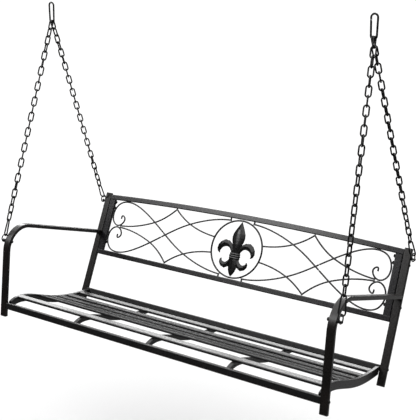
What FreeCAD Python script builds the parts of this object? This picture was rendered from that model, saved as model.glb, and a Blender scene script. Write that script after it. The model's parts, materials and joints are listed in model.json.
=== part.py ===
"""Steel porch swing with a scrolled back panel, hung on four chains (millimetres, +Z up)."""
import FreeCAD, Part
import math
import os

Vector = FreeCAD.Vector
Placement = FreeCAD.Placement
Rotation = FreeCAD.Rotation

# ---------------------------------------------------------------- driving sizes
SEAT_WALL = 2.0             # wall of the arms and of the seat's frame
BACK_WALL = 1.0             # wall of the posts and of the back's tubes
SLAT_WALL = 1.5
FRONT_SLAT_WALL = 3.0       # the front slat takes the sitters' legs and holds the seat's front down
TUBE_W, TUBE_D = 25.4, 12.7  # arm and post tube, wide face to the front
ARM_X = 620.0               # middle of each arm and post tube, either side

LEG_LEAN = 4.84             # degrees that a leg's top leans forward
LEG_STRAIGHT = 229.4        # straight leg below the bend
BEND_R = 80.0               # middle of the arm tube
BEND_TURN = 100.46          # degrees from leg to armrest

POST_FOOT = (406.5, 0.0)    # y, z of the post's front face at its foot
POST_RECLINE = 12.95        # degrees that the posts and the back lean back
POST_LENGTH = 437.7

PANEL_TUBE = 19.0           # height of the panel's rails
STILE_W = 25.4
PANEL_HALF = 606.3          # half width of the back panel, which all but touches the posts
PANEL_LOW = 216.65          # bottom of the open panel, up the post
PANEL_HIGH = 416.0          # top of the open panel at its ends
ARCH = 16.0                 # rise of the top rail at its middle

SCROLL_ROD = 6.0            # diameter of the scroll rods
RING_R = 103.0              # medallion ring, middle of its wire
RING_WIRE = 6.5
FLEUR_THICK = 9.0

SEAT_RAIL_H = 25.4          # curved end rails
FRONT_RAIL_H = 22.0
FRONT_RAIL_Z = 36.0
FRONT_RAIL_Y = -math.tan(math.radians(LEG_LEAN)) * FRONT_RAIL_Z
BACK_RAIL_LOW = 41.0
SUPPORT_H = 15.9
SUPPORT_X = (-300.0, 0.0, 300.0)
SLAT_W, SLAT_H = 25.4, 9.0
SLAT_Y = (372.0, 308.0, 258.0, 208.0, 158.0, 44.0)   # rear slat to front slat
# side profile of the seat, y and z of the top of its end rails
SEAT_PROFILE = ((4, 53), (30, 66), (75, 70.5), (150, 61), (225, 49.5), (300, 45.5), (360, 48.5), (420, 55))

LINK_WIRE = 5.0
LINK_WIDTH = 20.5           # outside width
LINK_PITCH = 27.3
LINK_COUNT = 26
GAP = 0.25                  # play where two wires bear on each other

TOP_HOOK = {"wire": 6.0, "narrow": 8.9, "wide": 10.1, "span": 50.0}
LOW_HOOK = {"wire": 5.0, "narrow": 6.5, "wide": 9.5, "span": 42.0}
LOW_HOOK_TURN = 20.0        # degrees that a lower hook is turned on its chain
GATE_GAP = 0.4
HOOK_X = 600.0              # middle of each top hook
FIRST_LINK_X = 2.75         # the front and back leg's first links sit side by side
FIRST_LINK_SHIFT = 0.35     # and both a little to the outside, where the legs lead
FIRST_LINK_REACH = 7.4      # hinge axis to the first link's upper bow

RING_MEAN_R = 13.0          # loose ring on each chain bolt
RING_ROD = 4.0
RING_STANDOFF = 9.0         # ring's middle, outside the tube's face
CHAIN_BOLT_R = 3.0
FRONT_BOLT_TURN = 25.0      # degrees up the arm's bend
BACK_BOLT_UP = 408.0        # up the post

BOLT_R = 3.0                # frame bolts, M6
BOLT_LENGTH = 58.0
ARMREST_BOLT_R = 2.5        # M5, through a post into the end of its armrest
ARMREST_BOLT_LENGTH = 18.0
ARMREST_BOLT_DROP = 0.8     # keeps the tilted bolt's plug inside the armrest
INSERT_R = 4.2              # threaded plugs in the ends of the seat's rails
INSERT_LENGTH = 22.0
HOLE_PLAY = 0.2

STEEL, ALUMINIUM, PLASTIC = 7.85e-6, 2.7e-6, 1.1e-6   # kg per cubic millimetre

nodes = {}                  # node name to solid or compound, in the bench's own frame
density = {}                # node name to density, where it isn't steel


# ---------------------------------------------------------------- small helpers
def turn_x(angle):
    return Rotation(Vector(1, 0, 0), angle)


def placed(shape, place):
    return shape.transformed(place.toMatrix(), True)


def group(solids):
    return solids[0] if len(solids) == 1 else Part.makeCompound(solids)


def rounded_rectangle(width, depth, radius):
    """A closed face in XY, centred on the origin."""
    x, y = width / 2, depth / 2
    box = Part.makeBox(width, depth, 1, Vector(-x, -y, 0))
    upright = [e for e in box.Edges if abs(e.Vertexes[0].Z - e.Vertexes[1].Z) > 0.5]
    solid = box.makeFillet(radius, upright)
    return [f for f in solid.Faces if abs(f.CenterOfMass.z) < 1e-6][0]


def tube_face(width, depth, wall, radius=2.5):
    outer = rounded_rectangle(width, depth, radius)
    inner = rounded_rectangle(width - 2 * wall, depth - 2 * wall, radius - wall * 0.8)
    return outer.cut(inner).Faces[0]


def tube_along_x(height, depth, length, wall, radius=2.5):
    """A hollow tube along X, centred on the origin, height in Z and depth in Y."""
    face = tube_face(height, depth, wall, radius)
    tube = face.extrude(Vector(0, 0, length))
    return placed(tube, Placement(Vector(-length / 2, 0, 0), Rotation(Vector(0, 1, 0), 90)))


def rod(start, end, radius):
    start, end = Vector(*start), Vector(*end)
    return Part.makeCylinder(radius, (end - start).Length, start, end - start)


def disc(centre, normal, radius):
    return Part.Face(Part.Wire([Part.makeCircle(radius, centre, normal)]))


def fused(shapes):
    return shapes[0].multiFuse(shapes[1:]).removeSplitter()


def panel_place():
    """Panel coordinates (x, depth behind the front face, height up the post) to the bench."""
    return Placement(Vector(0, POST_FOOT[0], POST_FOOT[1]), turn_x(-POST_RECLINE))


# ---------------------------------------------------------------- arms and posts
def arm_place(side):
    return Placement(Vector(side * ARM_X, 0, 0), turn_x(LEG_LEAN))


def arm_tube(side):
    """Leg, bend and armrest in one tube, cut to meet the post."""
    face = tube_face(TUBE_W, TUBE_D, SEAT_WALL)
    leg = face.extrude(Vector(0, 0, LEG_STRAIGHT))
    leg_end = placed(face, Placement(Vector(0, 0, LEG_STRAIGHT), Rotation()))
    bend = leg_end.revolve(Vector(0, BEND_R, LEG_STRAIGHT), Vector(1, 0, 0), -BEND_TURN)
    around = Placement(Vector(0, BEND_R, LEG_STRAIGHT), turn_x(-BEND_TURN))
    start = around.multVec(Vector(0, -BEND_R, 0))
    ahead = turn_x(-BEND_TURN).multVec(Vector(0, 0, 1))
    rest = placed(face, Placement(start, turn_x(-BEND_TURN))).extrude(ahead * 600)
    arm = placed(fused([leg, bend, rest]), arm_place(side))
    behind = Part.makeBox(100, 400, 1200, Vector(side * ARM_X - 50, 0, -300))
    return arm.cut(placed(behind, panel_place()))


def on_bend(angle):
    """A point of the arm tube's middle line, angle degrees up the bend, as y and z."""
    out = turn_x(-angle).multVec(Vector(0, -BEND_R, 0))
    point = turn_x(LEG_LEAN).multVec(Vector(0, BEND_R, LEG_STRAIGHT) + out)
    return point.y, point.z


def armrest_end():
    """Where the armrest's middle line meets the post's front face, as y and z."""
    y, z = on_bend(BEND_TURN)
    slope = math.tan(math.radians(BEND_TURN - LEG_LEAN - 90))
    recline = math.tan(math.radians(POST_RECLINE))
    run = (POST_FOOT[0] + z * recline - y) / (1 + slope * recline)
    return y + run, z - slope * run


def post_tube(side):
    face = tube_face(TUBE_W, TUBE_D, BACK_WALL)
    face = placed(face, Placement(Vector(side * ARM_X, TUBE_D / 2, 0), Rotation()))
    return placed(face.extrude(Vector(0, 0, POST_LENGTH)), panel_place())


def end_cap(plate_height, plug_depth, wall):
    """A moulded cap: a plate on z = 0 and a plug that fills the tube below it."""
    plate = rounded_rectangle(TUBE_W, TUBE_D, 2.5).extrude(Vector(0, 0, plate_height))
    inside = 2 * wall + 0.2
    plug = rounded_rectangle(TUBE_W - inside, TUBE_D - inside, 1.8).extrude(Vector(0, 0, -plug_depth))
    return fused([plate, plug])


def foot_caps():
    """Glides pressed into the open lower ends of the legs and posts."""
    upside_down = turn_x(180)
    caps = []
    for side in (-1, 1):
        leg_glide = placed(end_cap(3.0, 12.0, SEAT_WALL), Placement(Vector(), upside_down))
        caps.append(placed(leg_glide, arm_place(side)))
        at_foot = Placement(Vector(side * ARM_X, TUBE_D / 2, 0), upside_down)
        caps.append(placed(placed(end_cap(3.0, 12.0, BACK_WALL), at_foot), panel_place()))
    return group(caps)


def post_top_caps():
    caps = []
    for side in (-1, 1):
        at_top = Placement(Vector(side * ARM_X, TUBE_D / 2, POST_LENGTH), Rotation())
        caps.append(placed(placed(end_cap(2.5, 8.0, BACK_WALL), at_top), panel_place()))
    return group(caps)


def drill(shape, start, direction, length, radius=BOLT_R + HOLE_PLAY):
    return shape.cut(Part.makeCylinder(radius, length, start, direction))


# ---------------------------------------------------------------- back panel frame
def under_top_rail(x):
    """Underside of the arched top rail, up the post."""
    return PANEL_HIGH + ARCH * (1 - (x / PANEL_HALF) ** 2)


def scroll_mid(x):
    """Height that the scrollwork mirrors about: midway between the two rails."""
    return (PANEL_LOW + under_top_rail(x)) / 2


RING_MID = scroll_mid(0)


def along_arch(face, lift):
    """Turns a face through the arch. Its width stands up, its middle is lift above the arch's line."""
    radius = (PANEL_HALF ** 2 + ARCH ** 2) / (2 * ARCH)
    half_turn = math.degrees(math.asin(PANEL_HALF / radius))
    centre = Vector(0, 0, PANEL_HIGH + ARCH - radius)
    face = placed(face, Placement(Vector(0, TUBE_D / 2, radius + lift), Rotation(Vector(0, 1, 0), -90)))
    face = placed(face, Placement(centre, Rotation(Vector(0, 1, 0), -half_turn)))
    return face.revolve(centre, Vector(0, 1, 0), 2 * half_turn)


def panel_top_rail():
    tube = along_arch(tube_face(PANEL_TUBE, TUBE_D, BACK_WALL), PANEL_TUBE / 2)
    return placed(tube, panel_place())


def panel_bottom_rail():
    tube = tube_along_x(PANEL_TUBE, TUBE_D, 2 * PANEL_HALF, BACK_WALL)
    tube.translate(Vector(0, TUBE_D / 2, PANEL_LOW - PANEL_TUBE / 2))
    return placed(tube, panel_place())


def panel_stile(side):
    """Upright at the panel's end, between its rails, cut to the arch."""
    x = side * (PANEL_HALF - STILE_W / 2)
    face = tube_face(STILE_W, TUBE_D, BACK_WALL)
    face = placed(face, Placement(Vector(x, TUBE_D / 2, PANEL_LOW), Rotation()))
    upright = face.extrude(Vector(0, 0, PANEL_HIGH + ARCH - PANEL_LOW))
    above = along_arch(rounded_rectangle(2 * PANEL_TUBE, 2 * TUBE_D, 1), PANEL_TUBE)
    return upright.cut(above)


# ---------------------------------------------------------------- scrollwork
# One long scroll and one branch, left half, as x and height above the mirror line.
# Each is bent from round rod. The long scroll is drawn with its lobe down, the branch going up.
LONG_SCROLL = ((-533, -30), (-529, -43), (-518, -35), (-521, -16), (-543, -3.2), (-565, -14), (-575, -38),
               (-572, -64), (-555, -88), (-524, -98.4), (-488, -95), (-440, -77), (-375, -40), (-314, 0),
               (-249, 40), (-179, 71), (-110, 91), (-46, 99.0))
BRANCH_OUT = ((-530, 3.2), (-480, 8), (-440, 16.5), (-400, 29), (-360, 46), (-322, 71), (-288, 102.4))
BRANCH_BACK = ((-288, 102.4), (-246, 72), (-205, 52), (-155, 37), (-102.0, 29))


def scroll_point(x, height, side, up):
    return Vector(-side * x, TUBE_D / 2, scroll_mid(x) + up * height)


def bent_rod(points, side, up):
    """A round rod along a smooth curve through points, mirrored by side and by up."""
    path = [scroll_point(x, height, side, up) for x, height in points]
    curve = Part.BSplineCurve()
    curve.interpolate(path)
    wire = Part.Wire([curve.toShape()])
    start = disc(path[0], curve.tangent(curve.FirstParameter)[0], SCROLL_ROD / 2)
    return wire.makePipeShell([start.OuterWire], True, True)


def long_scroll(side, up):
    """A scroll whose lobe lies under the top rail (up is -1) or on the bottom rail (up is 1)."""
    return placed(bent_rod(LONG_SCROLL, side, up), panel_place())


def branch(side, up):
    """The rod that leaves the lobes, turns at a rail and comes back to the medallion."""
    elbow = Part.makeSphere(SCROLL_ROD / 2, scroll_point(*BRANCH_BACK[0], side, up))
    return placed(fused([bent_rod(BRANCH_OUT, side, up), elbow, bent_rod(BRANCH_BACK, side, up)]),
                  panel_place())


def medallion_ring():
    ring = Part.makeTorus(RING_R, RING_WIRE / 2, Vector(0, TUBE_D / 2, RING_MID), Vector(0, 1, 0))
    return placed(ring, panel_place())


def medallion_pegs():
    """Four short pegs that tie the long scrolls' ends to the rails, beside the ring."""
    pegs = []
    x_end, height = LONG_SCROLL[-1]
    base = height + SCROLL_ROD / 2 - 0.1
    for x in (x_end - SCROLL_ROD / 2, SCROLL_ROD / 2 - x_end):
        for low, high in ((scroll_mid(x) + base, under_top_rail(x) - 0.1), (PANEL_LOW, scroll_mid(x) - base)):
            pegs.append(rod((x, TUBE_D / 2, low), (x, TUBE_D / 2, high), SCROLL_ROD / 2))
    return placed(group(pegs), panel_place())


# ---------------------------------------------------------------- fleur-de-lis casting
def outline_solid(half_points, thickness):
    """A plate mirrored about x = 0 from the right-hand half of its outline, x and height."""
    right = [Vector(x, 0, RING_MID + z) for x, z in half_points]
    left = [Vector(-p.x, 0, p.z) for p in reversed(right)]
    sides = []
    for path in (right, left):
        curve = Part.BSplineCurve()
        curve.interpolate(path)
        sides.append(curve.toShape())
    face = Part.Face(Part.Wire(sides))
    face.translate(Vector(0, (TUBE_D - thickness) / 2, 0))
    return face.extrude(Vector(0, thickness, 0))


UPPER_PETAL = ((0, 99.5), (7, 84), (19, 60), (24, 40), (18, 18), (10, -8), (9, -16), (0, -17))
LOWER_PETAL = ((0, -34), (10, -36), (13, -50), (13, -72), (8, -88), (0, -99.5))
UPPER_CURL = ((12, -14), (18, 8), (32, 24), (48, 29), (66, 19), (78, -2), (74, -16), (62, -24),
              (60, -10), (51, 1), (38, 4), (25, -3), (18, -15))
LOWER_CURL = ((12, -36), (15, -56), (24, -72), (36, -75), (49, -67), (55, -54), (50, -43),
              (44, -51), (34, -55), (24, -49), (18, -36))


def curl_solid(points, side, thickness):
    curve = Part.BSplineCurve()
    curve.interpolate([Vector(side * x, 0, RING_MID + z) for x, z in points], PeriodicFlag=True)
    face = Part.Face(Part.Wire([curve.toShape()]))
    face.translate(Vector(0, (TUBE_D - thickness) / 2, 0))
    return face.extrude(Vector(0, thickness, 0))


def fleur_de_lis():
    """One casting: two petals, four curled leaves and the ribbed band that ties them."""
    pieces = [outline_solid(UPPER_PETAL, FLEUR_THICK), outline_solid(LOWER_PETAL, FLEUR_THICK)]
    for side in (-1, 1):
        pieces.append(curl_solid(UPPER_CURL, side, FLEUR_THICK - 1))
        pieces.append(curl_solid(LOWER_CURL, side, FLEUR_THICK - 1))
    for height in (-18, -25.5, -33):
        bar = Part.makeBox(38, FLEUR_THICK + 2, 7.5, Vector(-19, 0, RING_MID + height - 3.75))
        bar.translate(Vector(0, (TUBE_D - FLEUR_THICK - 2) / 2, 0))
        pieces.append(bar.makeFillet(2.0, bar.Edges))
    return placed(fused(pieces), panel_place())


# ---------------------------------------------------------------- seat
def seat_curve():
    curve = Part.BSplineCurve()
    curve.interpolate([Vector(0, y, z) for y, z in SEAT_PROFILE])
    return curve


def seat_height(y):
    """Height of the seat's curve and its slope in degrees at a depth y."""
    curve = seat_curve()
    t = curve.parameter(Vector(0, y, 55))
    for _ in range(8):
        slope = curve.tangent(t)[0]
        t = curve.parameter(curve.value(t) + slope * ((y - curve.value(t).y) / slope.y))
    return curve.value(t).z, math.degrees(math.atan2(slope.z, slope.y))


def curved_slab(top_drop, height, y_from, y_to, x_from, x_to):
    """The space between the seat's curve, lowered by top_drop, and the same curve lower still."""
    upper = seat_curve().toShape()
    upper.translate(Vector(x_from, 0, -top_drop))
    lower = seat_curve().toShape()
    lower.translate(Vector(x_from, 0, -top_drop - height))
    ends = [Part.makeLine(upper.Vertexes[i].Point, lower.Vertexes[i].Point) for i in (0, 1)]
    face = Part.Face(Part.Wire(Part.sortEdges([upper, ends[1], lower, ends[0]])[0]))
    slab = face.extrude(Vector(x_to - x_from, 0, 0))
    keep = Part.makeBox(x_to - x_from + 2, y_to - y_from, 400, Vector(x_from - 1, y_from, -200))
    return slab.common(keep)


def end_rail(side):
    """Curved rail that carries the slats' ends, between the leg and the post."""
    outer_x = ARM_X - TUBE_W / 2
    inner_x = outer_x - TUBE_D
    x_from, x_to = (inner_x, outer_x) if side > 0 else (-outer_x, -inner_x)
    front = FRONT_RAIL_Y + TUBE_D / 2
    outer = curved_slab(0, SEAT_RAIL_H, front, 430, x_from, x_to)
    long_edges = [e for e in outer.Edges if e.Length > 300]
    outer = outer.makeFillet(2.0, long_edges)
    wall = SEAT_WALL
    inner = curved_slab(wall, SEAT_RAIL_H - 2 * wall, front - 5, 435, x_from + wall, x_to - wall)
    rail = outer.cut(inner)
    behind = placed(Part.makeBox(2000, 200, 900, Vector(-1000, 0, -200)), panel_place())
    return rail.cut(behind)


def seat_front_rail():
    tube = tube_along_x(FRONT_RAIL_H, TUBE_D, 2 * ARM_X - TUBE_W, SEAT_WALL)
    return placed(tube, Placement(Vector(0, FRONT_RAIL_Y, FRONT_RAIL_Z), Rotation()))


def seat_back_rail():
    """Rail between the posts, in line with them, behind the rear slat."""
    tube = tube_along_x(PANEL_TUBE, TUBE_D, 2 * ARM_X - TUBE_W, BACK_WALL)
    up_post = (BACK_RAIL_LOW + PANEL_TUBE / 2) / math.cos(math.radians(POST_RECLINE))
    tube.translate(Vector(0, TUBE_D / 2, up_post))
    return placed(tube, panel_place())


def seat_support(x):
    """Bar under the slats from the front rail to the back rail."""
    front = FRONT_RAIL_Y + TUBE_D / 2 - 0.7
    bar = curved_slab(SLAT_H, SUPPORT_H, front, 430, x - TUBE_D / 2, x + TUBE_D / 2)
    inner = curved_slab(SLAT_H + SEAT_WALL, SUPPORT_H - 2 * SEAT_WALL, front - 5, 435,
                        x - TUBE_D / 2 + SEAT_WALL, x + TUBE_D / 2 - SEAT_WALL)
    behind = placed(Part.makeBox(2000, 200, 900, Vector(-1000, 0, -200)), panel_place())
    return bar.cut(inner).cut(behind)


def slat(y):
    """A flat tube across the seat, its top face on the seat's curve."""
    wall = FRONT_SLAT_WALL if y == min(SLAT_Y) else SLAT_WALL
    height, slope = seat_height(y)
    length = 2 * (ARM_X - TUBE_W / 2 - TUBE_D)
    tube = tube_along_x(SLAT_H, SLAT_W, length, wall, 3.0)
    tube.translate(Vector(0, 0, -SLAT_H / 2))
    lifted = Placement(Vector(0, y, height + 0.15), turn_x(slope))
    return placed(tube, lifted)


# ---------------------------------------------------------------- chains
def link_solid():
    """One welded link standing along Z, in the XZ plane, centred on the origin."""
    mean_r = (LINK_WIDTH - LINK_WIRE) / 2
    half = link_reach() - mean_r
    parts = []
    for end in (-1, 1):
        cross = disc(Vector(mean_r, 0, end * half), Vector(0, 0, 1), LINK_WIRE / 2)
        parts.append(cross.revolve(Vector(0, 0, end * half), Vector(0, 1, 0), -end * 180))
        parts.append(rod((end * mean_r, 0, -half), (end * mean_r, 0, half), LINK_WIRE / 2))
    return fused(parts)


def link_reach():
    """Middle of a link to the middle line of its end."""
    return (LINK_PITCH + LINK_WIRE + GAP) / 2


def frame_of(origin, down, across):
    """A placement whose local Z runs up the chain and whose local X is across, squared to it."""
    z = down * -1
    z.normalize()
    x = across - z * across.dot(z)
    x.normalize()
    y = z.cross(x)
    return Placement(FreeCAD.Matrix(x.x, y.x, z.x, origin.x, x.y, y.y, z.y, origin.y,
                                    x.z, y.z, z.z, origin.z, 0, 0, 0, 1))


def hook_above_bolt():
    """Bolt axis to the middle line of the lower hook's wide end, along the chain."""
    ring_top = 2 * RING_MEAN_R - (CHAIN_BOLT_R + RING_ROD / 2 + GAP)
    return ring_top - (RING_ROD / 2 + LOW_HOOK["wire"] / 2 + GAP)


def hook_length(sizes):
    """Between the middle lines of a hook's two ends."""
    return sizes["span"] + sizes["narrow"] + sizes["wide"]


def leg_length():
    """Hinge axis to chain bolt axis along one leg."""
    chain = 2 * link_reach() - FIRST_LINK_REACH + LINK_PITCH * (LINK_COUNT - 1)
    last_bow = LINK_WIRE / 2 + LOW_HOOK["wire"] / 2 + GAP
    return chain - last_bow + hook_length(LOW_HOOK) + hook_above_bolt()


def chain_bolts():
    """Outer ends of the four chain bolts, keyed by end of the seat and side, as (x, y, z)."""
    ring_x = ARM_X + TUBE_W / 2 + RING_STANDOFF
    front = on_bend(FRONT_BOLT_TURN)
    back = panel_place().multVec(Vector(0, TUBE_D / 2, BACK_BOLT_UP))
    return {(end, side): Vector(side * ring_x, y, z)
            for side in (-1, 1) for end, (y, z) in (("front", front), ("back", (back.y, back.z)))}


def hang_point():
    """The hinge axis over the bench: where equal front and back legs meet, as y and z."""
    bolts = chain_bolts()
    front, back = bolts["front", 1], bolts["back", 1]
    sideways = front.x - HOOK_X - FIRST_LINK_SHIFT
    reach = math.sqrt(leg_length() ** 2 - sideways ** 2)
    between = math.hypot(back.y - front.y, back.z - front.z)
    rise = math.sqrt(reach ** 2 - (between / 2) ** 2)
    unit_y, unit_z = (back.y - front.y) / between, (back.z - front.z) / between
    return ((front.y + back.y) / 2 - unit_z * rise, (front.z + back.z) / 2 + unit_y * rise)


def leg_line(end, side):
    """Start on the hinge axis and the unit direction down one leg."""
    y, z = hang_point()
    beside = FIRST_LINK_X if end == "front" else -FIRST_LINK_X
    start = Vector(side * (HOOK_X + FIRST_LINK_SHIFT + beside), y, z)
    down = chain_bolts()[end, side] - start
    return start, down.normalize()


def leg_twist(end, side, index):
    """Degrees that a link is turned from the plain quarter-turn pattern."""
    share = index / (LINK_COUNT - 1)
    if (end, side) == ("front", 1):
        return 90 * share
    if share < 0.25:
        return 45 * share / 0.25
    if share > 0.75:
        return 45 + 45 * (share - 0.75) / 0.25
    return 45.0


def chain_leg(end, side):
    start, down = leg_line(end, side)
    link = link_solid()
    links = []
    first = link_reach() - FIRST_LINK_REACH
    for index in range(LINK_COUNT):
        along = first + index * LINK_PITCH
        turn = 90 * (1 + index % 2) + leg_twist(end, side, index) * side
        place = frame_of(start + down * along, down, Vector(1, 0, 0))
        links.append(placed(link, place.multiply(Placement(Vector(), Rotation(Vector(0, 0, 1), turn)))))
    return group(links)


# ---------------------------------------------------------------- snap hooks
# In its own frame a hook stands in XZ: the narrow bow is centred on the origin,
# the wide bow is above it, and the gate closes the +X side.
def hook_tilt(sizes):
    return math.asin((sizes["wide"] - sizes["narrow"]) / sizes["span"])


def gate_line(sizes):
    """Lower tangent point and unit direction of the +X side of a hook."""
    tilt = hook_tilt(sizes)
    low = Vector(sizes["narrow"] * math.cos(tilt), 0, -sizes["narrow"] * math.sin(tilt))
    return low, Vector(math.sin(tilt), 0, math.cos(tilt))


def gate_sizes(sizes):
    """Side length, pivot height and nose start, measured up the gate line."""
    side = sizes["span"] * math.cos(hook_tilt(sizes))
    return side, sizes["wire"] * 1.35, side - sizes["wire"] * 0.9


def gate_pivot(sizes):
    low, up = gate_line(sizes)
    return low + up * gate_sizes(sizes)[1]


def snap_hook_body(sizes):
    wire, narrow, wide, span = (sizes[k] for k in ("wire", "narrow", "wide", "span"))
    tilt = hook_tilt(sizes)
    degrees = math.degrees(tilt)
    low, up = gate_line(sizes)
    side, pivot_up, nose = gate_sizes(sizes)
    spine_low = Vector(-low.x, 0, low.z)
    spine_up = Vector(-up.x, 0, up.z)
    top = Vector(0, 0, span)
    lower_bow = disc(low, up, wire / 2).revolve(Vector(), Vector(0, 1, 0), 180 - 2 * degrees)
    nose_root = low + up * side
    upper_bow = disc(nose_root, up, wire / 2).revolve(top, Vector(0, 1, 0), -(180 + 2 * degrees))
    stub_top = low + up * (pivot_up - wire / 2 - GATE_GAP)
    spine_end = spine_low + spine_up * side
    parts = [lower_bow, upper_bow,
             rod(low, stub_top, wire / 2),
             rod(low + up * nose, nose_root, wire / 2),
             rod(spine_low, spine_end, wire / 2)]
    body = fused(parts)
    return body.fuse(hook_tongue(sizes)).removeSplitter()


def hook_tongue(sizes):
    """Flat tongue that the gate straddles, with the pin's hole."""
    wire = sizes["wire"]
    low, up = gate_line(sizes)
    pivot = gate_pivot(sizes)
    thick = wire * 0.38
    eye = Part.makeCylinder(wire * 0.42, thick, pivot - Vector(0, thick / 2, 0), Vector(0, 1, 0))
    web = Part.makeBox(wire * 0.84, thick, wire * 1.2, Vector(-wire * 0.42, -thick / 2, -wire * 1.2))
    web = placed(web, Placement(pivot, Rotation(Vector(0, 1, 0), math.degrees(hook_tilt(sizes)))))
    hole = Part.makeCylinder(pin_radius(sizes), wire, pivot - Vector(0, wire / 2, 0), Vector(0, 1, 0))
    return eye.fuse(web).cut(hole)


def pin_radius(sizes):
    return sizes["wire"] * 0.15


def gate_pin(sizes):
    wire = sizes["wire"]
    return Part.makeCylinder(pin_radius(sizes), wire * 0.9, gate_pivot(sizes) - Vector(0, wire * 0.45, 0),
                             Vector(0, 1, 0))


def hook_gate(sizes):
    """Sprung gate: a rod slotted over the tongue at its foot, flat against the nose at its head."""
    wire = sizes["wire"]
    low, up = gate_line(sizes)
    side, pivot_up, nose = gate_sizes(sizes)
    pivot = gate_pivot(sizes)
    bar = rod(pivot, low + up * (nose - GATE_GAP), wire / 2)
    gate = bar.fuse(Part.makeSphere(wire / 2, pivot)).removeSplitter()
    slot = wire * 0.44
    round_slot = Part.makeCylinder(wire * 0.56, slot, pivot - Vector(0, slot / 2, 0), Vector(0, 1, 0))
    below = Part.makeBox(2 * wire, slot, 2 * wire, Vector(-wire, -slot / 2, -2 * wire))
    below = placed(below, Placement(pivot, Rotation(Vector(0, 1, 0), math.degrees(hook_tilt(sizes)))))
    hole = Part.makeCylinder(pin_radius(sizes) + 0.06, wire, pivot - Vector(0, wire / 2, 0), Vector(0, 1, 0))
    return gate.cut(round_slot).cut(below).cut(hole)


def low_hook_place(end, side):
    """A lower hook's own frame, narrow bow up the chain, gate to the outside."""
    start, down = leg_line(end, side)
    length = leg_length() - hook_above_bolt() - hook_length(LOW_HOOK) + LOW_HOOK["narrow"]
    place = frame_of(start + down * length, down * -1, Vector(side, 0, 0))
    turn = -side * LOW_HOOK_TURN if end == "front" else 0
    return place.multiply(Placement(Vector(), Rotation(Vector(0, 0, 1), turn)))


def top_hook_place(side):
    """A top hook's own frame in the row's frame: gates face each other."""
    up = -(TOP_HOOK["wide"] - TOP_HOOK["wire"] / 2) - TOP_HOOK["span"]
    return Placement(Vector(side * HOOK_X, 0, up), Rotation(Vector(0, 0, 1), 180 if side > 0 else 0))


def chain_ring(end, side):
    """Loose ring on its bolt, pulled up by the hook."""
    bolt = chain_bolts()[end, side]
    start, down = leg_line(end, side)
    centre = bolt - down * (RING_MEAN_R - (CHAIN_BOLT_R + RING_ROD / 2 + GAP))
    facing = Vector(1, 0, 0)
    facing = facing - down * facing.dot(down)
    return Part.makeTorus(RING_MEAN_R, RING_ROD / 2, centre, facing)


# ---------------------------------------------------------------- fasteners
def bolt_solid(radius, length):
    """A round-headed bolt along -Z from under its head at the origin."""
    head = Part.makeSphere(radius * 2.0, Vector(0, 0, -radius * 0.9))
    head = head.common(Part.makeBox(40, 40, 20, Vector(-20, -20, 0)))
    shank = Part.makeCylinder(radius, length, Vector(0, 0, -length))
    socket = Part.makeCylinder(radius * 0.6, radius, Vector(0, 0, radius * 0.55))
    return head.fuse(shank).cut(socket)


def nut_solid(radius):
    """A hexagon nut from z = 0 to its height, with a domed cap."""
    width = radius * 1.9
    corners = [Vector(width * math.cos(math.radians(60 * i)), width * math.sin(math.radians(60 * i)), 0)
               for i in range(7)]
    body = Part.Face(Part.makePolygon(corners)).extrude(Vector(0, 0, radius * 1.6))
    return body.cut(Part.makeCylinder(radius, radius * 2))


def along(point, direction):
    """A placement that puts local +Z on a direction."""
    return Placement(point, Rotation(Vector(0, 0, 1), direction))


def back_rail_point():
    up_post = (BACK_RAIL_LOW + PANEL_TUBE / 2) / math.cos(math.radians(POST_RECLINE))
    return panel_place().multVec(Vector(0, TUBE_D / 2, up_post))


def seat_bolt_heads():
    """Under-head points of the bolts through the legs and posts into the seat's rails."""
    outer = ARM_X + TUBE_W / 2
    back = back_rail_point()
    return [Vector(side * outer, y, z) for side in (-1, 1)
            for y, z in ((FRONT_RAIL_Y, FRONT_RAIL_Z), (back.y, back.z))]


PANEL_BOLT_UP = (PANEL_LOW + 32, PANEL_HIGH - 30)


def panel_bolt_heads():
    outer = ARM_X + TUBE_W / 2
    points = []
    for side in (-1, 1):
        for up_post in PANEL_BOLT_UP:
            points.append(panel_place().multVec(Vector(side * outer, TUBE_D / 2, up_post)))
    return points


def armrest_bolt_heads():
    """Under-head points at the back of the posts, behind the armrests' ends."""
    y, z = armrest_end()
    up_post = panel_place().inverse().multVec(Vector(0, y, z)).z - ARMREST_BOLT_DROP
    return [panel_place().multVec(Vector(side * ARM_X, TUBE_D, up_post)) for side in (-1, 1)]


def post_back():
    """Unit direction straight out of the back of the posts."""
    return panel_place().Rotation.multVec(Vector(0, 1, 0))


def armrest_bolts():
    bolt = bolt_solid(ARMREST_BOLT_R, ARMREST_BOLT_LENGTH)
    return group([placed(bolt, along(head, post_back())) for head in armrest_bolt_heads()])


def frame_bolts():
    """Eight alike bolts: four from the legs and posts into the seat, four through the panel."""
    bolt = bolt_solid(BOLT_R, BOLT_LENGTH)
    bolts = []
    for head in seat_bolt_heads() + panel_bolt_heads():
        bolts.append(placed(bolt, along(head, Vector(math.copysign(1, head.x), 0, 0))))
    return group(bolts)


def panel_nuts():
    """Nuts on the panel bolts, against the stiles' inner sides."""
    nut = nut_solid(BOLT_R)
    inner = PANEL_HALF - STILE_W
    nuts = []
    for head in panel_bolt_heads():
        side = math.copysign(1, head.x)
        at = Vector(side * inner, head.y, head.z)
        nuts.append(placed(nut, along(at, Vector(-side, 0, 0))))
    return group(nuts)


def panel_spacers():
    """Sleeves that hold the panel clear of the posts."""
    outer, inner = ARM_X - TUBE_W / 2, PANEL_HALF
    sleeves = []
    for head in panel_bolt_heads():
        side = math.copysign(1, head.x)
        start = Vector(side * inner, head.y, head.z)
        tube = Part.makeCylinder(5.0, outer - inner, start, Vector(side, 0, 0))
        sleeves.append(tube.cut(Part.makeCylinder(BOLT_R, outer - inner, start, Vector(side, 0, 0))))
    return group(sleeves)


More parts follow.
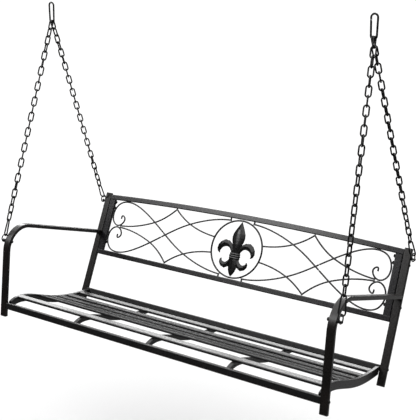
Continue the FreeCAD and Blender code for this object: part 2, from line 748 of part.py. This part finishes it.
def rail_inserts():
    """Threaded plugs in the ends of the seat rails and the armrests, which the bolts bite."""
    plugs = []
    for head in seat_bolt_heads():
        side = math.copysign(1, head.x)
        start = Vector(side * (ARM_X - TUBE_W / 2), head.y, head.z)
        plug = Part.makeCylinder(INSERT_R, INSERT_LENGTH, start, Vector(-side, 0, 0))
        plugs.append(plug.cut(Part.makeCylinder(BOLT_R, INSERT_LENGTH, start, Vector(-side, 0, 0))))
    forward = post_back() * -1
    for head in armrest_bolt_heads():
        start = head + forward * (TUBE_D + 0.6)
        plug = Part.makeCylinder(3.4, 4, start, forward)
        plugs.append(plug.cut(Part.makeCylinder(ARMREST_BOLT_R, 4, start, forward)))
    return group(plugs)


def chain_bolt_grip(end):
    """Where a chain bolt's nut sits: inside the arm, or inside the stile that the post backs."""
    return ARM_X - TUBE_W / 2 if end == "front" else PANEL_HALF - STILE_W


def chain_bolt_group():
    """Shouldered bolts through the arms, and the posts and stiles, that the loose rings hang on."""
    head_x = ARM_X + TUBE_W / 2 + RING_STANDOFF + RING_ROD / 2 + 1.5
    bolts = []
    for (end, side), point in chain_bolts().items():
        bolt = bolt_solid(CHAIN_BOLT_R, head_x - chain_bolt_grip(end) + 6)
        head = Vector(side * head_x, point.y, point.z)
        bolts.append(placed(bolt, along(head, Vector(side, 0, 0))))
    return group(bolts)


def chain_nuts():
    """A nut at the inner end of every chain bolt, and a collar outside the arm or post."""
    nut = nut_solid(CHAIN_BOLT_R)
    outer = ARM_X + TUBE_W / 2
    nuts = []
    for (end, side), point in chain_bolts().items():
        inner_end = Vector(side * chain_bolt_grip(end), point.y, point.z)
        nuts.append(placed(nut, along(inner_end, Vector(-side, 0, 0))))
        nuts.append(placed(nut, along(Vector(side * outer, point.y, point.z), Vector(side, 0, 0))))
    return group(nuts)


# ---------------------------------------------------------------- holes
def with_bolt_holes(shape, side):
    """Cuts every bolt hole that passes through an arm, post or stile on one side."""
    for head in seat_bolt_heads() + panel_bolt_heads() + list(chain_bolts().values()):
        if head.x * side > 0:
            start = Vector(side * 700, head.y, head.z)
            shape = drill(shape, start, Vector(-side, 0, 0), 125)
    for head in armrest_bolt_heads():
        if head.x * side > 0:
            out = post_back()
            shape = drill(shape, head + out, out * -1, TUBE_D + 2, ARMREST_BOLT_R + HOLE_PLAY)
    return shape


# ---------------------------------------------------------------- assembly
def build_bench():
    """Every node of the swinging bench, in the bench's own frame."""
    for side, name in ((-1, "left"), (1, "right")):
        nodes[name + "_arm_tube"] = with_bolt_holes(arm_tube(side), side)
        nodes[name + "_back_post"] = with_bolt_holes(post_tube(side), side)
        nodes["panel_" + name + "_stile"] = with_bolt_holes(placed(panel_stile(side), panel_place()), side)
        nodes["seat_" + name + "_end_rail"] = end_rail(side)
        for up, level in ((1, "upper"), (-1, "lower")):
            nodes[f"{name}_{level}_long_scroll"] = long_scroll(side, -up)
            nodes[f"{name}_{level}_branch_scroll"] = branch(side, up)
        for end in ("front", "back"):
            corner = f"{end}_{name}"
            nodes[corner + "_chain"] = chain_leg(end, side)
            place = low_hook_place(end, side)
            nodes[corner + "_snap_hook"] = placed(snap_hook_body(LOW_HOOK), place)
            nodes[corner + "_hook_gate"] = placed(hook_gate(LOW_HOOK), place)
    nodes["foot_caps"] = foot_caps()
    nodes["post_top_caps"] = post_top_caps()
    density["foot_caps"] = density["post_top_caps"] = PLASTIC
    nodes["panel_top_rail"] = panel_top_rail()
    nodes["panel_bottom_rail"] = panel_bottom_rail()
    nodes["medallion_ring"] = medallion_ring()
    nodes["medallion_pegs"] = medallion_pegs()
    nodes["fleur_de_lis"] = fleur_de_lis()
    density["fleur_de_lis"] = ALUMINIUM
    nodes["seat_front_rail"] = seat_front_rail()
    nodes["seat_back_rail"] = seat_back_rail()
    for x, name in zip(SUPPORT_X, ("left", "middle", "right")):
        nodes[f"seat_{name}_support"] = seat_support(x)
    for number, y in enumerate(SLAT_Y, 1):
        nodes[f"seat_slat_{number}"] = slat(y)
    corners = [(end, side) for side in (-1, 1) for end in ("front", "back")]
    nodes["chain_rings"] = group([chain_ring(*corner) for corner in corners])
    nodes["chain_hook_pins"] = group([placed(gate_pin(LOW_HOOK), low_hook_place(*c)) for c in corners])
    nodes["frame_bolts"] = frame_bolts()
    nodes["armrest_bolts"] = armrest_bolts()
    nodes["panel_nuts"] = panel_nuts()
    nodes["panel_spacers"] = panel_spacers()
    nodes["rail_inserts"] = rail_inserts()
    nodes["chain_bolts"] = chain_bolt_group()
    nodes["chain_nuts"] = chain_nuts()


def hanging_tilt():
    """Degrees that the bench leans back when its centre of mass hangs under the hinge axis."""
    mass = moment_y = moment_z = 0.0
    for name, shape in nodes.items():
        for solid in shape.Solids:
            weight = solid.Volume * density.get(name, STEEL)
            mass += weight
            moment_y += weight * solid.CenterOfMass.y
            moment_z += weight * solid.CenterOfMass.z
    y, z = hang_point()
    return math.degrees(math.atan2(moment_y / mass - y, z - moment_z / mass)), mass


def hang(tilt):
    """Bench frame to the row's frame, whose origin is midway between the top hooks' bearing points."""
    y, z = hang_point()
    drop = hook_length(TOP_HOOK) - TOP_HOOK["wire"] / 2
    lean = Placement(Vector(), turn_x(-tilt))
    return Placement(Vector(0, 0, -drop), Rotation()).multiply(lean).multiply(
        Placement(Vector(0, -y, -z), Rotation()))


def main():
    os.makedirs("parts", exist_ok=True)
    build_bench()
    tilt, mass = hanging_tilt()
    to_row = hang(tilt)
    for name in list(nodes):
        nodes[name] = placed(nodes[name], to_row)
    pins = []
    for side, name in ((-1, "left"), (1, "right")):
        place = top_hook_place(side)
        nodes[f"top_{name}_snap_hook"] = placed(snap_hook_body(TOP_HOOK), place)
        nodes[f"top_{name}_hook_gate"] = placed(hook_gate(TOP_HOOK), place)
        pins.append(placed(gate_pin(TOP_HOOK), place))
    nodes["top_hook_pins"] = group(pins)
    for name, shape in nodes.items():
        shape.exportStep(f"parts/{name}.step")
        if not shape.isValid():
            print("not valid:", name)
    print(f"{len(nodes)} nodes, {mass:.2f} kg on the chains, leaning back {tilt:.2f} degrees")


main()
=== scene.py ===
"""Steel porch swing: finishes, the cast medallion, light and camera around the frame."""
import json
import math

import bmesh
import bpy
from mathutils import Matrix, Vector


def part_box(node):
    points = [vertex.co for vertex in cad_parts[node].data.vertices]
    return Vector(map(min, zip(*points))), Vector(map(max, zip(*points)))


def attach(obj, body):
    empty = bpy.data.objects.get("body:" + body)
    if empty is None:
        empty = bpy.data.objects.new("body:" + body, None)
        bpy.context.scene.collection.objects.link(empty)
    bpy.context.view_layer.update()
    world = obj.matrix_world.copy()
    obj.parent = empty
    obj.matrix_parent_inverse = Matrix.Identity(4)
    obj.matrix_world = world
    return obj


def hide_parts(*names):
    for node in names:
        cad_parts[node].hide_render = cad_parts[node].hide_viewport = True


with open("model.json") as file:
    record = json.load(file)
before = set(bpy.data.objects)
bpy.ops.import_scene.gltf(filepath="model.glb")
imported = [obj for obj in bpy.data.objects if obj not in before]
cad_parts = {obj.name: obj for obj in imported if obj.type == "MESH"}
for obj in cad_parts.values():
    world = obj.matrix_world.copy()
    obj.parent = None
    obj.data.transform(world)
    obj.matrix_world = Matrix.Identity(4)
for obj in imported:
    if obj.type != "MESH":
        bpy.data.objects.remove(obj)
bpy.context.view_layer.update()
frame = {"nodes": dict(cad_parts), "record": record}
nodes = frame["nodes"]

MM = 0.001
BACK_LEAN = math.radians(24.92)     # how far the scrolled back leans from upright, hanging
FLOOR_Z = -1.56                     # 0.4 m below the feet
FLOOR_HALF = 40.0                   # far enough to reach past every view
CAMERA_PLACE = (1.5662, -2.2719, 0.1419)
CAMERA_PITCH = -13.264              # degrees up from level
CAMERA_YAW = 33.846                 # degrees round from looking straight at the front
CAMERA_LENS = 75.17                 # mm, on a 36 mm frame
CAMERA_SHIFT = (0.0068, -0.10)      # shares of the frame's longer side
AMBIENT = 0.05                      # how bright the surroundings are to everything but the camera
COAT_IOR = 1.5                      # paint, enamel, oil and polyethylene
COAT_BUMP = 0.5
STEEL_BUMP = 0.3
TOOL_MARK_MM = 0.8                  # spacing of the turning marks on the pins
TOOL_MARK_DEPTH_MM = 0.02
GRIT_MM = 5.0                       # size of the patches of uneven gloss
MERGE = 0.00001                     # m, closes the seams of a made piece


# ---------------------------------------------------------------- camera, floor and light
def make_camera():
    data = bpy.data.cameras.new("camera")
    data.lens = CAMERA_LENS
    data.shift_x, data.shift_y = CAMERA_SHIFT
    camera = bpy.data.objects.new("camera", data)
    camera.location = CAMERA_PLACE
    camera.rotation_euler = (math.radians(90 + CAMERA_PITCH), 0, math.radians(CAMERA_YAW))
    bpy.context.scene.collection.objects.link(camera)
    bpy.context.scene.camera = camera


def softbox(name, place, aim, size, watts, not_on):
    """A rectangular soft light for the swing alone: unseen itself, it leaves one piece out."""
    data = bpy.data.lights.new(name, "AREA")
    data.shape = "RECTANGLE"
    data.size, data.size_y = size
    data.energy = watts
    light = bpy.data.objects.new(name, data)
    light.location = place
    light.rotation_euler = (Vector(aim) - Vector(place)).to_track_quat("-Z", "Y").to_euler()
    light.visible_camera = False
    bpy.context.scene.collection.objects.link(light)
    unlit = bpy.data.collections.new(f"{name}_leaves_out")
    unlit.objects.link(not_on)
    unlit.collection_objects[0].light_linking.link_state = "EXCLUDE"
    light.light_linking.receiver_collection = unlit


def sky_light(name, watts_per_square_metre, spread):
    """One even soft light straight down, the same over the whole floor."""
    data = bpy.data.lights.new(name, "SUN")
    data.energy = watts_per_square_metre
    data.angle = math.radians(spread)
    light = bpy.data.objects.new(name, data)
    bpy.context.scene.collection.objects.link(light)


def make_world():
    """White to the camera, dim grey to everything that the light bounces off."""
    world = bpy.data.worlds.new("studio")
    bpy.context.scene.world = world
    world.use_nodes = True
    tree = world.node_tree
    tree.nodes.clear()
    seen = add_node(tree, "ShaderNodeBackground", {"Color": (1, 1, 1, 1), "Strength": 1.0})
    felt = add_node(tree, "ShaderNodeBackground", {"Color": (1, 1, 1, 1), "Strength": AMBIENT})
    path = add_node(tree, "ShaderNodeLightPath")
    mixed = add_node(tree, "ShaderNodeMixShader", {
        0: path.outputs["Is Camera Ray"], 1: felt.outputs[0], 2: seen.outputs[0]})
    add_node(tree, "ShaderNodeOutputWorld", {"Surface": mixed.outputs[0]})


# ---------------------------------------------------------------- material helpers
def linear(hex_colour):
    """An sRGB hex colour as linear RGBA."""
    channels = [int(hex_colour[i:i + 2], 16) / 255 for i in (1, 3, 5)]
    return [c / 12.92 if c <= 0.04045 else ((c + 0.055) / 1.055) ** 2.4 for c in channels] + [1.0]


def add_node(tree, kind, inputs=None, **settings):
    """Adds a node with its settings; each input is a value or another node's output."""
    new = tree.nodes.new(kind)
    for name, value in settings.items():
        setattr(new, name, value)
    for name, value in (inputs or {}).items():
        if isinstance(value, bpy.types.NodeSocket):
            tree.links.new(value, new.inputs[name])
        else:
            new.inputs[name].default_value = value
    return new


def new_material(name):
    material = bpy.data.materials.new(name)
    material.use_nodes = True
    material.node_tree.nodes.clear()
    return material, material.node_tree


def per_metre(size_mm):
    """Noise scale that gives lumps of about this size."""
    return 1.0 / (size_mm * MM)


def mapped(tree, value, low, high, to_low, to_high):
    return add_node(tree, "ShaderNodeMapRange", {
        "Value": value, "From Min": low, "From Max": high,
        "To Min": to_low, "To Max": to_high}).outputs["Result"]


def noise(tree, where, size_mm, detail, roughness):
    return add_node(tree, "ShaderNodeTexNoise", {
        "Vector": where, "Scale": per_metre(size_mm), "Detail": detail,
        "Roughness": roughness}).outputs["Fac"]


def coated_metal(name, coat, worn, roughness, peel_mm, peel_depth_mm, cloud_mm=60.0, spread=0.07):
    """Paint or powder baked on metal: an orange-peel skin, tone that drifts, uneven gloss."""
    material, tree = new_material(name)
    where = add_node(tree, "ShaderNodeTexCoord").outputs["Object"]
    peel = noise(tree, where, peel_mm, detail=3.0, roughness=0.45)
    cloud = noise(tree, where, cloud_mm, detail=4.0, roughness=0.6)
    grit = noise(tree, where, GRIT_MM, detail=5.0, roughness=0.7)
    tone = add_node(tree, "ShaderNodeMix", {"Factor": mapped(tree, cloud, 0.35, 0.7, 0.0, 1.0),
                                            6: linear(coat), 7: linear(worn)}, data_type="RGBA")
    gloss = mapped(tree, grit, 0.3, 0.7, roughness - spread, roughness + spread)
    skin = add_node(tree, "ShaderNodeBump", {
        "Strength": COAT_BUMP, "Distance": peel_depth_mm * MM, "Height": peel})
    shader = add_node(tree, "ShaderNodeBsdfPrincipled",
                      {"Base Color": tone.outputs[2], "Roughness": gloss, "IOR": COAT_IOR,
                       "Metallic": 0.0, "Normal": skin.outputs["Normal"]})
    add_node(tree, "ShaderNodeOutputMaterial", {"Surface": shader.outputs[0]})
    return material


def bare_steel(name, colour, roughness):
    """Turned plain steel: fine rings of tool marks round the pin."""
    material, tree = new_material(name)
    where = add_node(tree, "ShaderNodeTexCoord").outputs["Object"]
    marks = add_node(tree, "ShaderNodeTexWave", {
        "Vector": where, "Scale": per_metre(TOOL_MARK_MM), "Distortion": 1.5,
        "Detail": 2.0}).outputs["Fac"]
    skin = add_node(tree, "ShaderNodeBump", {
        "Strength": STEEL_BUMP, "Distance": TOOL_MARK_DEPTH_MM * MM, "Height": marks})
    shader = add_node(tree, "ShaderNodeBsdfPrincipled",
                      {"Base Color": linear(colour), "Metallic": 1.0,
                       "Roughness": mapped(tree, marks, 0.0, 1.0,
                                           roughness - 0.05, roughness + 0.08),
                       "Normal": skin.outputs["Normal"]})
    add_node(tree, "ShaderNodeOutputMaterial", {"Surface": shader.outputs[0]})
    return material


# ---------------------------------------------------------------- the finishes
def make_finishes():
    """One material for each of the record's slots."""
    finishes = {}
    # Black polyester powder, baked: satin, warm black, faint orange peel, pale at a grazing angle.
    finishes["frame_coat"] = coated_metal(
        "satin_black_powder_coat_arms", "#0d0b0a", "#15110f", 0.30, 1.6, 0.05)
    # The same powder on the seat, a neutral black.
    finishes["seat_coat"] = coated_metal(
        "satin_black_powder_coat_seat", "#0d0d0d", "#151415", 0.31, 1.6, 0.05)
    # The same powder on the back, cooler and glossier: the flat rails catch the light.
    finishes["panel_coat"] = coated_metal(
        "satin_black_powder_coat_back", "#0b0a0c", "#131115", 0.25, 1.6, 0.05)
    # Sand-cast aluminium under the powder: the casting's grain shows as soft pitting.
    finishes["cast_fleur"] = coated_metal(
        "powder_coated_sand_casting", "#0b0b0b", "#161616", 0.27, 2.6, 0.16, 20.0)
    # Chain dipped in black enamel: a coarser skin, its tone drifting along each link.
    finishes["chain_links"] = coated_metal(
        "black_dipped_enamel_chain", "#0a0a0a", "#121111", 0.33, 2.2, 0.06, 18.0)
    # Forged hooks and rings, blackened and lightly oiled: an even dark satin.
    finishes["hook_fittings"] = coated_metal(
        "black_oxide_forged_hooks", "#0b0b0b", "#141415", 0.30, 1.2, 0.05, 12.0)
    # Bolts and nuts in baked black paint: satin, almost without texture.
    finishes["fasteners"] = coated_metal(
        "black_painted_bolts", "#0d0d0d", "#151515", 0.34, 1.0, 0.03, 8.0)
    # Turned steel pins, bright, with fine rings.
    finishes["plain_pins"] = bare_steel("turned_plain_steel", "#b4b4b6", 0.32)
    # Injection-moulded polyethylene caps: soft sheen and a fine spark-eroded texture.
    finishes["moulded_caps"] = coated_metal(
        "moulded_black_polyethylene", "#0a0a0a", "#101010", 0.52, 0.7, 0.04, 14.0)
    return finishes


def dress_frame(finishes):
    """Each CAD node wears its slot's finish."""
    for part in frame["record"]["subparts"]:
        mesh = nodes[part["node"]].data
        mesh.materials.clear()
        mesh.materials.append(finishes[part["material_slot"]])


# ---------------------------------------------------------------- piece helpers
def finished(bm, name, body, finish, smooth_below=50.0):
    """Closes a bmesh into an object that rides on a body and wears a finish."""
    bmesh.ops.remove_doubles(bm, verts=bm.verts, dist=MERGE)
    bmesh.ops.recalc_face_normals(bm, faces=bm.faces)
    limit = math.radians(smooth_below)
    for face in bm.faces:
        face.smooth = True
    for edge in bm.edges:
        edge.smooth = edge.is_manifold and edge.calc_face_angle(0.0) < limit
    mesh = bpy.data.meshes.new(name)
    bm.to_mesh(mesh)
    bm.free()
    piece = bpy.data.objects.new(name, mesh)
    piece.data.materials.append(finish)
    bpy.context.scene.collection.objects.link(piece)
    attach(piece, body)
    return piece


def centre_of(node):
    low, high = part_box(node)
    return (Vector(low) + Vector(high)) / 2


def back_place(centre):
    """From the back's own x, depth and height to the row frame."""
    return Matrix.Translation(centre) @ Matrix.Rotation(-BACK_LEAN, 4, "X")


# ---------------------------------------------------------------- the cast medallion
# Stations along each leaf's rib, right-hand side: x, height over the ring's middle, half width.
UPPER_PETAL = (
    (0, 98.5, 0.8), (0, 93, 4.2), (0, 84, 9.6), (0, 70, 17.6), (0, 55, 24.4), (0, 42, 26.6),
    (0, 29, 24.6), (0, 17, 20.2), (0, 4, 15.6), (0, -8, 12.4), (0, -17, 11.4))
LOWER_PETAL = (
    (0, -34, 11.0), (0, -44, 13.8), (0, -55, 16.6), (0, -66, 17.4), (0, -78, 14.6),
    (0, -88, 9.6), (0, -95, 4.4), (0, -98.5, 0.8))
UPPER_CURL = (
    (13, -18, 4.0), (15.5, -8, 5.2), (20, 2, 7.2), (26, 9.5, 9.2), (36, 15, 11.6),
    (49, 15.5, 13.4), (59, 10, 12.4), (66.5, 1, 10.4), (69.5, -9, 8.2), (68.5, -17, 5.0),
    (63.5, -23.5, 0.9))
LOWER_CURL = (
    (14, -33, 5.0), (15.5, -42, 6.0), (18.5, -50, 7.8), (25, -58, 10.2), (35, -63, 11.2),
    (45, -60, 9.6), (52, -53.5, 7.0), (54, -46.5, 4.2), (52.5, -40.0, 0.8))
# The three ties round the leaves: height over the ring's middle, half width.
TIES = ((-18, 19.6), (-25.5, 20.8), (-33, 19.8))
TIE_DEPTH = 14.0            # front to back, mm
TIE_HEIGHT = 7.6
TIE_ROUND = 3.0             # edge radius
RIB_SIDES = 16              # corners round a leaf
RIB_TOP = 0.95              # above this, on the unit circle, lies the midrib
MIDRIB = 0.55               # how far the midrib stands proud, as a share of the leaf
GROOVE = 0.16               # how deep the grooves beside it are
LEAF_DEPTH = 5.4            # half thickness at a leaf's widest, mm


def leaf_ring(station, ahead, depth_share):
    """The matrix that lays a unit circle across a leaf at one station."""
    x, height, half_width = station
    depth = LEAF_DEPTH * depth_share
    across = Vector((ahead.z, 0, -ahead.x))
    lay = Matrix((across * half_width, Vector((0, depth, 0)), ahead)).transposed().to_4x4()
    return Matrix.Translation((x, 0, height)) @ lay


def leaf(bm, stations, side):
    """A leaf extruded along its rib from station to station, with a midrib and two grooves."""
    points = [Vector((x * side, 0, height)) for x, height, _ in stations]
    widest = max(half_width for _, _, half_width in stations)
    start = bmesh.ops.create_circle(bm, cap_ends=True, segments=RIB_SIDES, radius=1.0)
    ring = start["verts"]
    unit = {}
    for vert in ring:
        angle = math.atan2(vert.co.y, vert.co.x)
        lift = 1.0 + MIDRIB * math.cos(angle * 2 + math.pi) ** 9 - GROOVE * math.cos(4 * angle) * (
            abs(vert.co.y) < RIB_TOP)
        unit[vert] = Vector((vert.co.x, vert.co.y * lift, 0))
    cap = ring[0].link_faces[0]
    for index, station in enumerate(stations):
        before, after = points[max(index - 1, 0)], points[min(index + 1, len(points) - 1)]
        ahead = (after - before).normalized()
        share = 0.35 + 0.65 * min(1.0, station[2] / (0.75 * widest))
        lay = leaf_ring((station[0] * side, station[1], station[2]), ahead, share)
        if index:
            grown = bmesh.ops.extrude_face_region(bm, geom=[cap])["geom"]
            new_ring = [g for g in grown if isinstance(g, bmesh.types.BMVert)]
            cap = [g for g in grown if isinstance(g, bmesh.types.BMFace)][0]
            shapes = {}
            for vert in new_ring:
                twin = [e.other_vert(vert) for e in vert.link_edges
                        if e.other_vert(vert) in unit][0]
                shapes[vert] = unit[twin]
            unit = shapes
        for vert, shape in unit.items():
            vert.co = lay @ shape


def make_fleur(finishes):
    """The fleur-de-lis: two petals, four curled leaves and three rounded ties, cast in one."""
    bm = bmesh.new()
    for stations in (UPPER_PETAL, LOWER_PETAL):
        leaf(bm, stations, 1)
    for side in (-1, 1):
        leaf(bm, UPPER_CURL, side)
        leaf(bm, LOWER_CURL, side)
    for height, half_width in TIES:
        tie = bmesh.ops.create_cube(bm, size=1.0)["verts"]
        bmesh.ops.scale(bm, vec=(2 * half_width, TIE_DEPTH, TIE_HEIGHT), verts=tie)
        bmesh.ops.translate(bm, vec=(0, 0, height), verts=tie)
        edges = list({edge for vert in tie for edge in vert.link_edges})
        bmesh.ops.bevel(bm, geom=edges, offset=TIE_ROUND, segments=4, profile=0.5,
                         affect="EDGES", material=-1)
    bmesh.ops.transform(bm, matrix=Matrix.Scale(MM, 4), verts=bm.verts)
    bmesh.ops.transform(bm, matrix=back_place(centre_of("medallion_ring")), verts=bm.verts)
    piece = finished(bm, "cast_fleur_de_lis", "swing", finishes["cast_fleur"])
    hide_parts("fleur_de_lis")


# ---------------------------------------------------------------- the floor
def make_floor():
    """A white floor, below the feet, that the swing's gloss doesn't mirror."""
    bm = bmesh.new()
    bmesh.ops.create_grid(bm, x_segments=1, y_segments=1, size=FLOOR_HALF)
    bmesh.ops.translate(bm, vec=(0, 0, FLOOR_Z), verts=bm.verts)
    mesh = bpy.data.meshes.new("floor")
    bm.to_mesh(mesh)
    bm.free()
    floor = bpy.data.objects.new("floor", mesh)
    bpy.context.scene.collection.objects.link(floor)
    paint, tree = new_material("white_painted_floor")
    shader = add_node(tree, "ShaderNodeBsdfPrincipled",
                      {"Base Color": linear("#f4f4f4"), "Roughness": 0.9})
    add_node(tree, "ShaderNodeOutputMaterial", {"Surface": shader.outputs[0]})
    mesh.materials.append(paint)
    floor.visible_glossy = False
    return floor


# ---------------------------------------------------------------- making
make_camera()
make_world()
finishes = make_finishes()
dress_frame(finishes)
make_fleur(finishes)

floor = make_floor()

sky_light("overhead", 3.8, 110)
softbox("behind", (-3.0, 4.6, 1.2), (0, 0, -0.6), (5.4, 1.8), 250, floor)
softbox("front_left", (-2.5, -2.9, 2.0), (0, 0, -0.5), (2.4, 1.7), 80, floor)
softbox("floor_bounce", (1.0, 1.7, -1.5), (0.7, 0.3, -0.9), (3.2, 1.8), 5, floor)

scene = bpy.context.scene
scene.view_settings.view_transform = "Standard"
